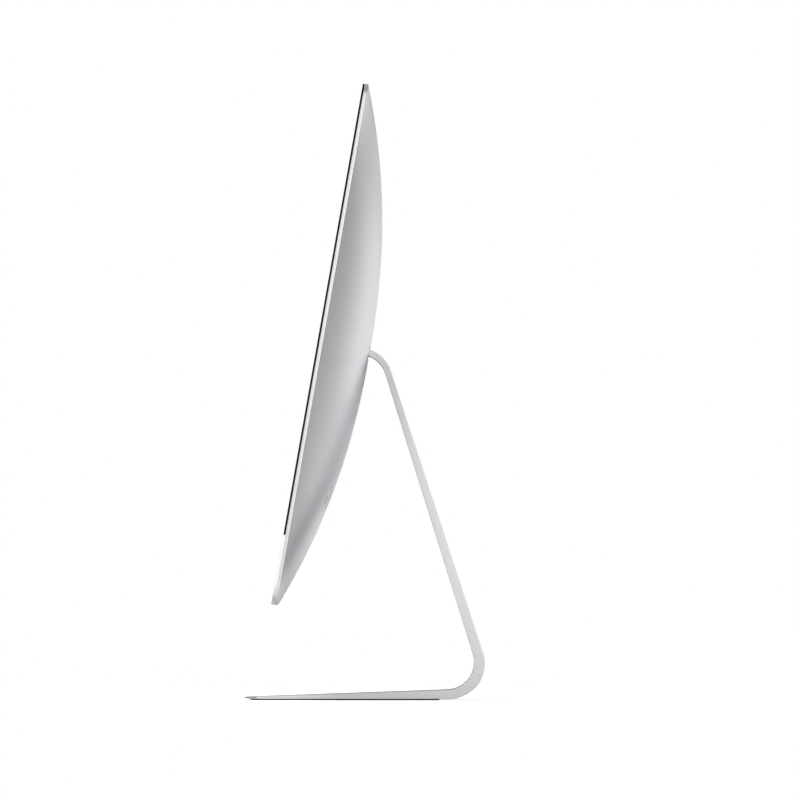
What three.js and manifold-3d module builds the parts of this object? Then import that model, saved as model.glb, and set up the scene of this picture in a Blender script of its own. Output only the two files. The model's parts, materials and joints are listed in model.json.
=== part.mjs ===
// An all-in-one desktop computer: a slim display housing with a domed aluminium back, carried by a
// tilting hinge on a one-piece aluminium stand.
//
// Millimetres, +Z up. The origin is on the desk, under the middle of the part's bounding box. The screen
// faces -Y. Everything in the housing is modelled in the display's own frame and tilted as one group:
//   x  across, w  depth behind the front of the glass, h  height above the housing's bottom edge.
import * as THREE from "three";
import { mergeVertices } from "three/addons/utils/BufferGeometryUtils.js";
import Module from "manifold-3d";

const wasm = await Module();
wasm.setup();

// ---------------------------------------------------------------- driving dimensions

const WIDTH = 650; // housing, across
const HEIGHT = 446.4; // housing, along its tilted face
const CORNER_RADIUS = 8;
const EDGE_THICKNESS = 4.8; // glass and rim together, at the outer edge
const DOME_DEPTH = 39.75; // how far the back swells beyond that edge at the middle
const DOME_POWER_ACROSS = 3.5;
const DOME_POWER_UP = 2.23;
const SHELL = 1.8; // wall of the rear housing
const GAP = 0.3; // clearance between pieces that rest on each other

const GLASS_THICKNESS = 1.5;
const CHIN_HEIGHT = 59.4; // aluminium strip under the glass, on the front
const LEDGE_FRONT = GLASS_THICKNESS + GAP;
const LEDGE_BACK = 3.4;
const CAVITY_HALF_WIDTH = 313;
const CAVITY_LOW = 9;
const CAVITY_HIGH = 437;

const TILT = THREE.MathUtils.degToRad(10); // the display leans back
const PIVOT_Y = -3.5; // hinge line, on the desk's frame
const PIVOT_Z = 297.1;
const PIVOT_W = 36.5; // the same line, in the display's frame
const PIVOT_H = 225;

const STAND_WIDTH = 200;
const STAND_FRONT_Y = -101.8;
const FOOT_CORNER_RADIUS = 15;
const PAD_THICKNESS = 1;
const ARM_HOLE_RADIUS = 26;
const ARM_HOLE_Z = 212;
const NECK_THICKNESS = 5.2;
const KNUCKLE_RADIUS = 5.4;
const KNUCKLE_HALF_WIDTH = 60;
const SHROUD_RADIUS = 7; // curved back of the neck's end, which fills the housing's slot
const SHROUD_THICKNESS = 1.8;
const SHAFT_RADIUS = 3;
const SHAFT_HALF_LENGTH = 86;
const SHAFT_CLEARANCE = 0.3;
const SLOT_HALF_WIDTH = STAND_WIDTH / 2 + 1.5;

// ---------------------------------------------------------------- materials

function finish(color, roughness, metalness) {
  return new THREE.MeshStandardMaterial({ color, roughness, metalness });
}

const ALUMINIUM = finish(0xd3d5d8, 0.38, 1);
const STEEL = finish(0x8f9296, 0.35, 1);
const COPPER = finish(0xb87345, 0.35, 1);
const GOLD = finish(0xd6b25e, 0.3, 1);
const GLASS = finish(0x060607, 0.04, 0);
const LCD = finish(0x101114, 0.25, 0);
const PLASTIC = finish(0x17181a, 0.55, 0);
const GREY_PLASTIC = finish(0x55585c, 0.55, 0);
const RUBBER = finish(0x2c2d2f, 0.85, 0);
const BOARD = finish(0x14231d, 0.6, 0);

// ---------------------------------------------------------------- solids

// A closed three.js geometry as a manifold-3d solid.
function solid(geometry) {
  const flat = geometry.index ? geometry.toNonIndexed() : geometry;
  const bare = new THREE.BufferGeometry().setAttribute("position", flat.getAttribute("position"));
  const merged = mergeVertices(bare, 1e-4);
  const vertProperties = merged.attributes.position.array;
  const triVerts = new Uint32Array(merged.index.array);
  return new wasm.Manifold(new wasm.Mesh({ numProp: 3, vertProperties, triVerts }));
}

function geometryOf(body) {
  const mesh = body.getMesh();
  const geometry = new THREE.BufferGeometry();
  geometry.setAttribute("position", new THREE.BufferAttribute(new Float32Array(mesh.vertProperties), 3));
  geometry.setIndex(new THREE.BufferAttribute(new Uint32Array(mesh.triVerts), 1));
  return geometry;
}

const join = (...bodies) => bodies.reduce((whole, piece) => whole.add(piece));
const cut = (body, ...tools) => tools.reduce((left, tool) => left.subtract(tool), body);

// Box from one corner to the other: x, then depth (w or y), then height (h or z).
function box(x0, x1, y0, y1, z0, z1) {
  const geometry = new THREE.BoxGeometry(x1 - x0, y1 - y0, z1 - z0);
  return solid(geometry.translate((x0 + x1) / 2, (y0 + y1) / 2, (z0 + z1) / 2));
}

const centredBox = (x, y, z, dx, dy, dz) =>
  box(x - dx / 2, x + dx / 2, y - dy / 2, y + dy / 2, z - dz / 2, z + dz / 2);

// Box of a piece whose place is kept by name, in the display's own frame.
const block = ({ left, right, front, back, low, high }) => box(left, right, front, back, low, high);

// Round bar along x, at depth y and height z.
function barAcross(radius, x0, x1, y, z, sides = 20) {
  const geometry = new THREE.CylinderGeometry(radius, radius, x1 - x0, sides).rotateZ(Math.PI / 2);
  return solid(geometry.translate((x0 + x1) / 2, y, z));
}

// Round bar along the depth axis, at x and height z.
function barThrough(radius, y0, y1, x, z, sides = 20) {
  const geometry = new THREE.CylinderGeometry(radius, radius, y1 - y0, sides);
  return solid(geometry.translate(x, (y0 + y1) / 2, z));
}

// An outline with rounded corners. Each corner is [a, b] or [a, b, radius].
function roundedOutline(corners) {
  const shape = new THREE.Shape();
  corners.forEach(([a, b, radius = 0], i) => {
    const corner = new THREE.Vector2(a, b);
    if (!radius) {
      if (i) shape.lineTo(a, b);
      else shape.moveTo(a, b);
      return;
    }
    const before = corners[(i + corners.length - 1) % corners.length];
    const after = corners[(i + 1) % corners.length];
    const toBefore = new THREE.Vector2(before[0] - a, before[1] - b).normalize();
    const toAfter = new THREE.Vector2(after[0] - a, after[1] - b).normalize();
    const halfAngle = Math.acos(toBefore.dot(toAfter)) / 2;
    const start = corner.clone().addScaledVector(toBefore, radius / Math.tan(halfAngle));
    const inward = toBefore.clone().add(toAfter).normalize();
    const centre = corner.clone().addScaledVector(inward, radius / Math.sin(halfAngle));
    const end = corner.clone().addScaledVector(toAfter, radius / Math.tan(halfAngle));
    const from = Math.atan2(start.y - centre.y, start.x - centre.x);
    const to = Math.atan2(end.y - centre.y, end.x - centre.x);
    if (i) shape.lineTo(start.x, start.y);
    else shape.moveTo(start.x, start.y);
    shape.absarc(centre.x, centre.y, radius, from, to, toBefore.cross(toAfter) > 0);
  });
  shape.closePath();
  return shape;
}

const rectangle = (x0, x1, z0, z1, radius) =>
  roundedOutline([[x0, z0, radius], [x1, z0, radius], [x1, z1, radius], [x0, z1, radius]]);

// Extrudes an outline drawn in (depth, height) across the part, from x0 to x1.
function extrudeAcross(shape, x0, x1, curveSegments = 6) {
  const geometry = new THREE.ExtrudeGeometry(shape, { depth: x1 - x0, bevelEnabled: false, curveSegments });
  const basis = new THREE.Matrix4().makeBasis(
    new THREE.Vector3(0, 1, 0), new THREE.Vector3(0, 0, 1), new THREE.Vector3(1, 0, 0));
  return solid(geometry.applyMatrix4(basis).translate(x0, 0, 0));
}

// Extrudes an outline drawn in (x, height) through the depth, from y0 to y1.
function extrudeThrough(shape, y0, y1, curveSegments = 3) {
  const geometry = new THREE.ExtrudeGeometry(shape, { depth: y1 - y0, bevelEnabled: false, curveSegments });
  return solid(geometry.rotateX(Math.PI / 2).translate(0, y1, 0));
}

// Extrudes an outline drawn in (x, y) upwards, from z0 to z1.
function extrudeUp(shape, z0, z1, curveSegments = 6) {
  const geometry = new THREE.ExtrudeGeometry(shape, { depth: z1 - z0, bevelEnabled: false, curveSegments });
  return solid(geometry.translate(0, 0, z0));
}

// Depth of the domed back at a place on it. It falls off as a power of the distance from the middle in
// both directions, and the two are blended so that the rim is a plane and the corners stay full.
function domeDepth(x, h) {
  const across = Math.abs((2 * x) / WIDTH) ** DOME_POWER_ACROSS;
  const up = Math.abs((2 * h) / HEIGHT - 1) ** DOME_POWER_UP;
  const fall = Math.sqrt(across ** 2 + up ** 2 - (across * up) ** 2);
  return EDGE_THICKNESS + DOME_DEPTH * (1 - Math.min(1, fall));
}

// A block over a rectangle of the display, from the plane w = floor to the dome less an inset. Its grid
// lines crowd towards the rim, where the dome bends most.
function domeBlock(halfWidth, hLow, hHigh, floor, inset, columns, rows) {
  const spread = (i, count) => Math.sin((Math.PI / 2) * ((2 * i) / count - 1));
  const position = [];
  const index = [];
  const corner = (i, j) => i * (rows + 1) + j;
  for (let i = 0; i <= columns; i++) {
    for (let j = 0; j <= rows; j++) {
      const x = halfWidth * spread(i, columns);
      const h = (hLow + hHigh) / 2 + ((hHigh - hLow) / 2) * spread(j, rows);
      position.push(x, domeDepth(x, h) - inset, h);
    }
  }
  for (let i = 0; i < columns; i++) {
    for (let j = 0; j < rows; j++) {
      index.push(corner(i, j), corner(i, j + 1), corner(i + 1, j + 1));
      index.push(corner(i, j), corner(i + 1, j + 1), corner(i + 1, j));
    }
  }
  const rim = [];
  for (let i = 0; i < columns; i++) rim.push(corner(i, 0));
  for (let j = 0; j < rows; j++) rim.push(corner(columns, j));
  for (let i = columns; i > 0; i--) rim.push(corner(i, rows));
  for (let j = rows; j > 0; j--) rim.push(corner(0, j));
  const firstLow = position.length / 3;
  rim.forEach((top) => position.push(position[3 * top], floor, position[3 * top + 2]));
  rim.forEach((top, k) => {
    const next = (k + 1) % rim.length;
    index.push(top, rim[next], firstLow + k);
    index.push(rim[next], firstLow + next, firstLow + k);
  });
  const outline = rim.map((top) => new THREE.Vector2(position[3 * top], position[3 * top + 2]));
  THREE.ShapeUtils.triangulateShape(outline, []).forEach(([a, b, c]) =>
    index.push(firstLow + a, firstLow + b, firstLow + c));
  const geometry = new THREE.BufferGeometry();
  geometry.setAttribute("position", new THREE.Float32BufferAttribute(position, 3));
  geometry.setIndex(index);
  return solid(geometry);
}

// ---------------------------------------------------------------- scene graph

const computer = new THREE.Group();
const tiltingGroup = new THREE.Group();
tiltingGroup.position.set(0, PIVOT_Y, PIVOT_Z);
tiltingGroup.rotation.x = -TILT;
const display = new THREE.Group();
display.position.set(0, -PIVOT_W, -PIVOT_H);
tiltingGroup.add(display);
computer.add(tiltingGroup);

function place(name, body, material, parent = display) {
  const mesh = new THREE.Mesh(geometryOf(body), material);
  mesh.name = name;
  parent.add(mesh);
}

// ---------------------------------------------------------------- stand

const FOOT_TOP_ANGLE = THREE.MathUtils.degToRad(2);
const ARM_REAR_ANGLE = THREE.MathUtils.degToRad(18.09); // the arm's two faces lean forward, and it tapers
const ARM_FRONT_ANGLE = THREE.MathUtils.degToRad(17.33);
const ARM_REAR_POINT = [96.2, 54.2]; // (y, z) on each face of the arm, just above the bend
const ARM_FRONT_POINT = [87.6, 54.2];
const BEND_RADIUS = { outside: 30, inside: 23.1 };
const NECK_BEND_RADIUS = { outside: 29, inside: 23.4 };
const TIP = { top: 2.7, bottom: 1.6, bevel: 4 }; // the foot's front end

// Where two lines in the (y, z) plane meet. Each is a point and an angle above +Y.
function meet([y1, z1], angle1, [y2, z2], angle2) {
  const along = ((y2 - y1) * Math.sin(angle2) - (z2 - z1) * Math.cos(angle2)) / Math.sin(angle2 - angle1);
  return [y1 + along * Math.cos(angle1), z1 + along * Math.sin(angle1)];
}

function standOutline() {
  const downRear = ARM_REAR_ANGLE - Math.PI / 2;
  const downFront = ARM_FRONT_ANGLE - Math.PI / 2;
  const tipTop = [STAND_FRONT_Y, TIP.top];
  const tipBottom = [STAND_FRONT_Y, TIP.bottom];
  const bevelEnd = [STAND_FRONT_Y + TIP.bevel, PAD_THICKNESS];
  const half = NECK_THICKNESS / 2;
  const neckTop = [PIVOT_Y + half * Math.sin(TILT), PIVOT_Z + half * Math.cos(TILT)];
  const neckUnder = [PIVOT_Y - half * Math.sin(TILT), PIVOT_Z - half * Math.cos(TILT)];
  return roundedOutline([
    tipBottom,
    bevelEnd,
    [...meet(bevelEnd, 0, ARM_REAR_POINT, downRear), BEND_RADIUS.outside],
    [...meet(ARM_REAR_POINT, downRear, neckTop, -TILT), NECK_BEND_RADIUS.outside],
    neckTop,
    neckUnder,
    [...meet(neckUnder, -TILT, ARM_FRONT_POINT, downFront), NECK_BEND_RADIUS.inside],
    [...meet(ARM_FRONT_POINT, downFront, tipTop, FOOT_TOP_ANGLE), BEND_RADIUS.inside],
    tipTop,
  ]);
}

// Inside the housing the plate is narrower than the arm, so that the hinge brackets fit beside it.
function neckShoulders() {
  const shoulder = (side) => {
    const [near, far] = [side * KNUCKLE_HALF_WIDTH, side * (STAND_WIDTH / 2 + 1)].sort((a, b) => a - b);
    return box(near, far, PIVOT_Y - 10, PIVOT_Y + 5.9, PIVOT_Z - 12, PIVOT_Z + 12);
  };
  return [shoulder(-1), shoulder(1)];
}

// Concentric with the hinge, so it keeps the slot filled however the display is tilted.
function makeShroud() {
  const half = STAND_WIDTH / 2;
  const inner = SHROUD_RADIUS - SHROUD_THICKNESS;
  const bar = barAcross(SHROUD_RADIUS, -half, half, PIVOT_Y, PIVOT_Z, 40);
  const front = box(-half - 1, half + 1, PIVOT_Y - 10, PIVOT_Y + 1.8, PIVOT_Z - 10, PIVOT_Z + 10);
  const hollows = [
    barAcross(inner, -half - 1, -KNUCKLE_HALF_WIDTH, PIVOT_Y, PIVOT_Z, 32),
    barAcross(inner, KNUCKLE_HALF_WIDTH, half + 1, PIVOT_Y, PIVOT_Z, 32),
  ];
  return cut(bar, front, ...hollows);
}

function makeStand() {
  const half = STAND_WIDTH / 2;
  const plan = roundedOutline([
    [-half, STAND_FRONT_Y, FOOT_CORNER_RADIUS], [half, STAND_FRONT_Y, FOOT_CORNER_RADIUS],
    [half, 150], [-half, 150]]);
  const plate = extrudeAcross(standOutline(), -half, half, 7).intersect(extrudeUp(plan, -5, 330, 4));
  const knuckle = barAcross(KNUCKLE_RADIUS, -KNUCKLE_HALF_WIDTH, KNUCKLE_HALF_WIDTH, PIVOT_Y, PIVOT_Z, 24);
  const bore = barAcross(SHAFT_RADIUS + SHAFT_CLEARANCE, -half, half, PIVOT_Y, PIVOT_Z, 16);
  const cableHole = barThrough(ARM_HOLE_RADIUS, 0, 90, 0, ARM_HOLE_Z, 32);
  return cut(join(cut(plate, ...neckShoulders()), knuckle, makeShroud()), bore, cableHole);
}

function makeFootPad() {
  const half = STAND_WIDTH / 2 - 4;
  const shape = rectangle(-half, half, STAND_FRONT_Y + 5, 64, FOOT_CORNER_RADIUS - 4);
  return extrudeUp(shape, 0, PAD_THICKNESS - GAP, 3);
}

place("stand", makeStand(), ALUMINIUM, computer);
place("foot_pad", makeFootPad(), RUBBER, computer);
place("hinge_shaft",
  barAcross(SHAFT_RADIUS, -SHAFT_HALF_LENGTH, SHAFT_HALF_LENGTH, PIVOT_Y, PIVOT_Z, 16), STEEL, computer);

// ---------------------------------------------------------------- rear housing and what is cut in it

const PORT_ROW_H = 95;
const USB = { width: 6, height: 13.6, depth: 13 };
const DATA = { width: 5.4, height: 8.4, depth: 9 };
const NETWORK = { width: 13.4, height: 15.6, depth: 16 };
const USB_X = [184, 168, 152, 136];
const DATA_X = [121, 108];
const NETWORK_X = 88;
const AUDIO = { x: 214, radius: 4.2, depth: 12 };
const CARD = { x: 200, width: 4, height: 27, depth: 14 };
const PORT_CLEARANCE = 0.3;

const INLET = { h: 150, radius: 15, recess: 12.4, depth: 14 };
const RELEASE = { h: 174, radius: 3.2 };
const DOOR = { halfWidth: 62, low: 74, high: 129, corner: 5 };
const POWER_BUTTON = { x: -236, h: 82, radius: 7.5 };
const WINDOW = { h: 336, radius: 30 };
const VENT = { halfWidth: 84, low: 195.5, high: 207 };
const HINGE_SLOT = { low: PIVOT_H - 6.3, high: PIVOT_H + 4.8 }; // lets the neck swing 15 degrees each way
const LOCK_SLOT = { x: -196, h: 64, width: 7, height: 3 };
const SCREEN_OPENING = { halfWidth: 306, low: 68, high: 430 };
const CAMERA_NOTCH = { left: -37, right: 16, low: 425, high: 436 }; // makes room above the screen opening
const CHIN_HOLLOW = { front: 1.9, top: 57 };
const GASKET = { halfWidth: 317.9, low: 62.1, high: 440.9, width: 3.3, back: 2.4 };
const GROOVE_MARGIN = 0.6; // the gasket's groove is this much larger all round
const BOTTOM_SLOT = { front: 2.2, back: 3.7, length: 16, pitch: 20 };
const DOOR_GAP = 0.4;
const BOSS = { x: 72, offset: 18, radius: 5 };
const PLATE_FRONT = 21;
const PLATE_BACK = 23;

const solidBlock = domeBlock(WIDTH / 2, 0, HEIGHT, 0, 0, 24, 20);
const cavity = domeBlock(CAVITY_HALF_WIDTH, CAVITY_LOW, CAVITY_HIGH, LEDGE_BACK, SHELL, 16, 14);
const wall = solidBlock.subtract(cavity);

// A slab that reaches through the domed wall over an outline in (x, h).
const throughWall = (shape, segments) => extrudeThrough(shape, 10, 60, segments);

function portOpenings() {
  const slot = (x, height, width, c) =>
    centredBox(x, 35, PORT_ROW_H, width + 2 * c, 50, height + 2 * c);
  return [
    ...USB_X.map((x) => slot(x, USB.height, USB.width, PORT_CLEARANCE)),
    ...DATA_X.map((x) => slot(x, DATA.height, DATA.width, PORT_CLEARANCE)),
    slot(NETWORK_X, NETWORK.height, NETWORK.width, PORT_CLEARANCE),
    slot(CARD.x, CARD.height, CARD.width, PORT_CLEARANCE),
    barThrough(AUDIO.radius + PORT_CLEARANCE, 10, 60, AUDIO.x, PORT_ROW_H, 16),
  ];
}

// Slots along the bottom edge: sound from the speakers at both ends, air in at the middle.
function bottomSlots() {
  const slots = [];
  const row = (first, count) => {
    for (let i = 0; i < count; i++) {
      const x = first + i * BOTTOM_SLOT.pitch;
      slots.push(box(x, x + BOTTOM_SLOT.length, BOTTOM_SLOT.front, BOTTOM_SLOT.back, -1, CAVITY_LOW + 1));
    }
  };
  row(-270, 5);
  row(-88, 9);
  row(174, 5);
  return slots;
}

// A frame along the edge of the glass: the gasket itself, or with a margin the groove that it lies in.
function gasketFrame(margin, front, back) {
  const frameBox = (shrink, w0, w1) => box(-GASKET.halfWidth + shrink, GASKET.halfWidth - shrink, w0, w1,
    GASKET.low + shrink, GASKET.high - shrink);
  return cut(frameBox(-margin, front, back), frameBox(GASKET.width + margin, front - 1, back + 1));
}

function makeRearHousing() {
  const outline = rectangle(-WIDTH / 2, WIDTH / 2, 0, HEIGHT, CORNER_RADIUS);
  const glassSeat = box(-WIDTH, WIDTH, -1, LEDGE_FRONT, CHIN_HEIGHT, HEIGHT + 1);
  const ledgeCut = (x0, x1, front, low, high) => box(x0, x1, front, LEDGE_BACK + 1, low, high);
  const { halfWidth } = SCREEN_OPENING;
  const openings = [
    ledgeCut(-halfWidth, halfWidth, -1, SCREEN_OPENING.low, SCREEN_OPENING.high),
    ledgeCut(CAMERA_NOTCH.left, CAMERA_NOTCH.right, -1, CAMERA_NOTCH.low, CAMERA_NOTCH.high),
    ledgeCut(-CAVITY_HALF_WIDTH, CAVITY_HALF_WIDTH, CHIN_HOLLOW.front, CAVITY_LOW, CHIN_HOLLOW.top),
  ];
  const bosses = [];
  for (const side of [-1, 1]) {
    for (const updown of [-1, 1]) {
      const h = PIVOT_H + updown * BOSS.offset;
      bosses.push(barThrough(BOSS.radius, PLATE_BACK + GAP, 60, side * BOSS.x, h, 12));
    }
  }
  const bossesInside = join(...bosses).intersect(solidBlock);
  const shell = cut(
    wall.intersect(extrudeThrough(outline, -1, 60, 3)),
    glassSeat, gasketFrame(GROOVE_MARGIN, 1, GASKET.back + GAP), ...openings);
  const screwHoles = [-1, 1].flatMap((side) => [-1, 1].map((updown) =>
    barThrough(1.9, PLATE_BACK - 1, 32, side * BOSS.x, PIVOT_H + updown * BOSS.offset, 10)));
  return cut(
    join(shell, bossesInside),
    ...portOpenings(),
    ...bottomSlots(),
    box(-SLOT_HALF_WIDTH, SLOT_HALF_WIDTH, PIVOT_W, 60, HINGE_SLOT.low, HINGE_SLOT.high),
    box(-VENT.halfWidth, VENT.halfWidth, PIVOT_W, 60, VENT.low, VENT.high),
    barThrough(INLET.radius + GAP, 10, 60, 0, INLET.h, 32),
    barThrough(RELEASE.radius + GAP, 10, 60, 0, RELEASE.h, 16),
    throughWall(rectangle(-DOOR.halfWidth - DOOR_GAP, DOOR.halfWidth + DOOR_GAP, DOOR.low - DOOR_GAP,
      DOOR.high + DOOR_GAP, DOOR.corner), 3),
    barThrough(POWER_BUTTON.radius + GAP, 10, 60, POWER_BUTTON.x, POWER_BUTTON.h, 24),
    barThrough(WINDOW.radius + GAP, 10, 60, 0, WINDOW.h, 36),
    centredBox(LOCK_SLOT.x, 35, LOCK_SLOT.h, LOCK_SLOT.width, 50, LOCK_SLOT.height),
    ...screwHoles,
  );
}

place("rear_housing", makeRearHousing(), ALUMINIUM);

// ---------------------------------------------------------------- front: glass, panel, camera

function makeCoverGlass() {
  const high = HEIGHT;
  const half = WIDTH / 2;
  const low = CHIN_HEIGHT + GAP;
  const shape = roundedOutline([
    [-half, low], [half, low], [half, high, CORNER_RADIUS], [-half, high, CORNER_RADIUS]]);
  return extrudeThrough(shape, 0, GLASS_THICKNESS, 3);
}

const PANEL = { left: -302, right: 302, front: LEDGE_FRONT, back: 3, low: 81, high: 426 };
const BACKLIGHT = { left: -298, right: 298, front: PANEL.back + GAP, back: 5.9, low: 88, high: 419 };
const CAMERA = { left: -13, right: 13, front: 3, back: 5.4, low: 427.6, high: 435.4 };
const LENS_RADIUS = 2.6;
const MICROPHONE = { left: -34, right: -28, front: 2, back: 3.6, low: 428.2, high: 432.2 };

function makeCamera() {
  const middle = (CAMERA.low + CAMERA.high) / 2;
  const lens = barThrough(LENS_RADIUS, LEDGE_FRONT, CAMERA.front + 0.5, 0, middle, 16);
  return join(block(CAMERA), lens);
}

place("cover_glass", makeCoverGlass(), GLASS);
place("display_gasket", gasketFrame(0, LEDGE_FRONT, GASKET.back), RUBBER);
place("lcd_panel", block(PANEL), LCD);
place("backlight_module", block(BACKLIGHT), STEEL);
place("camera_module", makeCamera(), PLASTIC);
place("microphone", block(MICROPHONE), GOLD);

// ---------------------------------------------------------------- hinge

const EAR = { near: 61, far: 65, radius: 5, footFar: 82, footHalfHeight: 10, footThickness: 2 };
const CLUTCH = { near: 65.4, step: 73, far: 76, radius: 5, stepRadius: 4.4 };
const SPRING = { near: 77.4, length: 7, turns: 3, radius: 4.1, wire: 0.7 };
const SCREW = { headRadius: 3.6, headHeight: 2.1, shankRadius: 1.5, tip: 31 };

// Two distances from the middle, mirrored to one side and put in rising order.
const span = (sign, near, far) => [sign * near, sign * far].sort((a, b) => a - b);

const barOnHinge = (radius, sign, near, far, sides) =>
  barAcross(radius, ...span(sign, near, far), PIVOT_W, PIVOT_H, sides);

const shaftBore = (sign) => barOnHinge(SHAFT_RADIUS + 0.15, sign, 50, 90, 24);

function makeBracket(sign) {
  const earSpan = span(sign, EAR.near, EAR.far);
  const footFront = PLATE_BACK + GAP;
  const ear = join(
    barOnHinge(EAR.radius, sign, EAR.near, EAR.far, 20),
    box(...earSpan, footFront, PIVOT_W, PIVOT_H - EAR.radius, PIVOT_H + EAR.radius),
    box(...span(sign, EAR.near, EAR.footFar), footFront, footFront + EAR.footThickness,
      PIVOT_H - EAR.footHalfHeight, PIVOT_H + EAR.footHalfHeight));
  return cut(ear, shaftBore(sign));
}

function makeClutch(sign) {
  const drum = barOnHinge(CLUTCH.radius, sign, CLUTCH.near, CLUTCH.step, 20);
  const nose = barOnHinge(CLUTCH.stepRadius, sign, CLUTCH.step, CLUTCH.far, 20);
  return cut(join(drum, nose), shaftBore(sign));
}

for (const [side, sign] of [["left", -1], ["right", 1]]) {
  place(`hinge_bracket_${side}`, makeBracket(sign), STEEL);
  place(`friction_clutch_${side}`, makeClutch(sign), STEEL);
}

// Flat steel plate behind the panel that spreads the hinge's load to four bosses of the housing.
function makeMountPlate() {
  const arms = [-1, 1].map((side) =>
    centredBox(side * 70, (PLATE_FRONT + PLATE_BACK) / 2, PIVOT_H, 20, PLATE_BACK - PLATE_FRONT, 50));
  const bridge = box(-70, 70, PLATE_FRONT, PLATE_BACK, PIVOT_H - 19, PIVOT_H + 4);
  const holes = [-1, 1].flatMap((side) => [-1, 1].map((updown) =>
    barThrough(2.2, 0, 40, side * BOSS.x, PIVOT_H + updown * BOSS.offset, 12)));
  return cut(join(bridge, ...arms), ...holes);
}

place("hinge_mount_plate", makeMountPlate(), STEEL);

let screwNumber = 0;
for (const side of [-1, 1]) {
  for (const updown of [-1, 1]) {
    screwNumber += 1;
    const h = PIVOT_H + updown * BOSS.offset;
    const headBack = PLATE_FRONT - GAP;
    const head = barThrough(SCREW.headRadius, headBack - SCREW.headHeight, headBack, side * BOSS.x, h, 12);
    const shank = barThrough(SCREW.shankRadius, headBack - 0.7, SCREW.tip, side * BOSS.x, h, 10);
    place(`hinge_screw_${screwNumber}`, join(head, shank), STEEL);
  }
}

// Torsion springs round the ends of the shaft carry part of the display's weight.
function makeSpring(sign) {
  const { near, length, turns, radius } = SPRING;
  class Coil extends THREE.Curve {
    getPoint(t, target = new THREE.Vector3()) {
      const angle = 2 * Math.PI * turns * t;
      const along = sign * (near + length * t);
      return target.set(along, PIVOT_W + radius * Math.cos(angle), PIVOT_H + radius * Math.sin(angle));
    }
  }
  const wire = new THREE.Shape().absarc(0, 0, SPRING.wire, 0, 2 * Math.PI);
  const geometry = new THREE.ExtrudeGeometry(wire, {
    steps: turns * 12, extrudePath: new Coil(), curveSegments: 3, bevelEnabled: false });
  return solid(geometry);
}

place("hinge_spring_left", makeSpring(-1), STEEL);
place("hinge_spring_right", makeSpring(1), STEEL);

// ---------------------------------------------------------------- boards and drives

const BOARD_FRONT = 8;
const BOARD_BACK = 9.6;
const PARTS_BASE = BOARD_BACK + GAP; // what stands on the board starts here

function makeLogicBoard() {
  const shape = roundedOutline([
    [-78, 72], [286, 72, 6], [286, 322, 6], [96, 322, 4], [96, 134], [-78, 134, 4]]);
  const board = extrudeThrough(shape, BOARD_FRONT, BOARD_BACK, 2);
  const chip = (x0, x1, h0, h1, top) => box(x0, x1, BOARD_BACK - 0.5, top, h0, h1);
  const chips = join(
    board, chip(206, 238, 176, 208, 11.4), chip(228, 262, 244, 262, 10.8), chip(116, 132, 286, 302, 10.8),
    chip(250, 268, 120, 134, 10.8), chip(112, 160, 128, 140, 12.5), chip(182, 196, 286, 300, 12));
  const holes = [[102, 316], [278, 314], [278, 80], [100, 142], [-70, 80]].map(([x, h]) =>
    barThrough(2, 0, 20, x, h, 10));
  return cut(chips, ...holes);
}

const HEATSINK = { left: 126, right: 172, front: PARTS_BASE, back: 13, low: 206, high: 252 };
const PILLAR = { inset: 4, radius: 3.2, height: 3 };

function makeHeatsink() {
  const { left, right, low, high, back } = HEATSINK;
  const pillars = [left + PILLAR.inset, right - PILLAR.inset].flatMap((x) =>
    [low + PILLAR.inset, high - PILLAR.inset].map((h) =>
      barThrough(PILLAR.radius, back - 1, back + PILLAR.height, x, h, 10)));
  return join(block(HEATSINK), ...pillars);
}

// Flattened heat pipe from the heatsink to the fins, bent once behind the panel.
function makeHeatPipe() {
  const path = new THREE.CatmullRomCurve3([
    new THREE.Vector3(160, 15.6, 229), new THREE.Vector3(126, 15.6, 229), new THREE.Vector3(92, 15.2, 222),
    new THREE.Vector3(62, 14.6, 216), new THREE.Vector3(32, 14.4, 215), new THREE.Vector3(-38, 14.4, 215)]);
  const section = new THREE.Shape().absellipse(0, 0, 1.7, 4, 0, 2 * Math.PI);
  return solid(new THREE.ExtrudeGeometry(section, {
    steps: 22, extrudePath: path, curveSegments: 5, bevelEnabled: false }));
}

const FINS = { count: 12, pitch: 7.4, halfThickness: 0.4, front: 9.5, back: 19, low: 206, high: 224 };
const FIN_PLATE = { front: 8.4, back: 9.8 };
const PIPE_SLOT = { left: -100, right: 100, front: 12.3, back: 16.6, low: 210.4, high: 219.6 };

function makeFinStack() {
  const first = (-FINS.count * FINS.pitch) / 2;
  const fins = [];
  for (let i = 0; i < FINS.count; i++) {
    const x = first + (i + 0.5) * FINS.pitch;
    fins.push(box(x - FINS.halfThickness, x + FINS.halfThickness, FINS.front, FINS.back,
      FINS.low, FINS.high));
  }
  const base = box(first, -first, FIN_PLATE.front, FIN_PLATE.back, FINS.low, FINS.high);
  return cut(join(base, ...fins), block(PIPE_SLOT));
}

const DRIVE = { left: -189, right: -88.4, front: 6.4, back: 32, low: 152, high: 297 };
const DRIVE_LID = { border: 3, endBorder: 8, depth: 0.8 }; // the lid is let into the casting
const SPINDLE = { radius: 12, x: -139, h: 240, depth: 1.4 };
const DRIVE_SOCKET = { left: -178, right: -136, front: 8, back: 13, low: 151, high: 154 };

function makeHardDrive() {
  const over = DRIVE.back + 1;
  const lidStep = box(DRIVE.left + DRIVE_LID.border, DRIVE.right - DRIVE_LID.border,
    DRIVE.back - DRIVE_LID.depth, over, DRIVE.low + DRIVE_LID.endBorder, DRIVE.high - DRIVE_LID.endBorder);
  const spindle = barThrough(SPINDLE.radius, DRIVE.back - SPINDLE.depth, over, SPINDLE.x, SPINDLE.h, 20);
  return cut(block(DRIVE), lidStep, spindle, block(DRIVE_SOCKET));
}

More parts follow.
